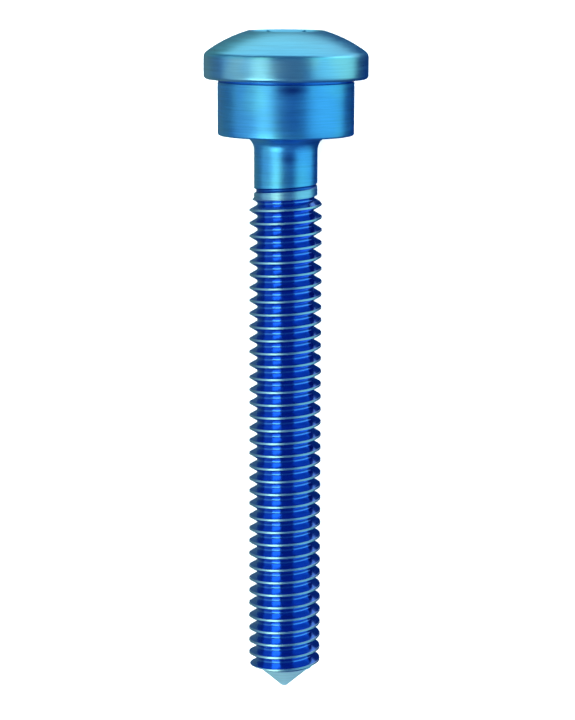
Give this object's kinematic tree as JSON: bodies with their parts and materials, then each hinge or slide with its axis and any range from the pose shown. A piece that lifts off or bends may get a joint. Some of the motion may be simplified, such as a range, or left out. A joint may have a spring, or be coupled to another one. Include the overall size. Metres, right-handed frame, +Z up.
{
  "type": "bone compression screw",
  "caption": "Long machine-threaded implant screw with a domed hexagon-socket head and a guide collar, which draws a hip lag screw into its plate's barrel.",
  "frame": {"origin": "middle of the footprint of the lying screw, on the surface that it lies on", "axes": "+Z up; the screw lies along Y, head towards +Y and point towards -Y, with its axis dipping 4.3 degrees towards the point; +X across it"},
  "size_m": [0.0088, 0.036, 0.0088],
  "materials": {
    "anodised_titanium": "blue anodised, satin on the head and bright on the thread"
  },
  "bodies": {
    "root": {"compression_screw": "anodised_titanium"}
  },
  "joints": []
}
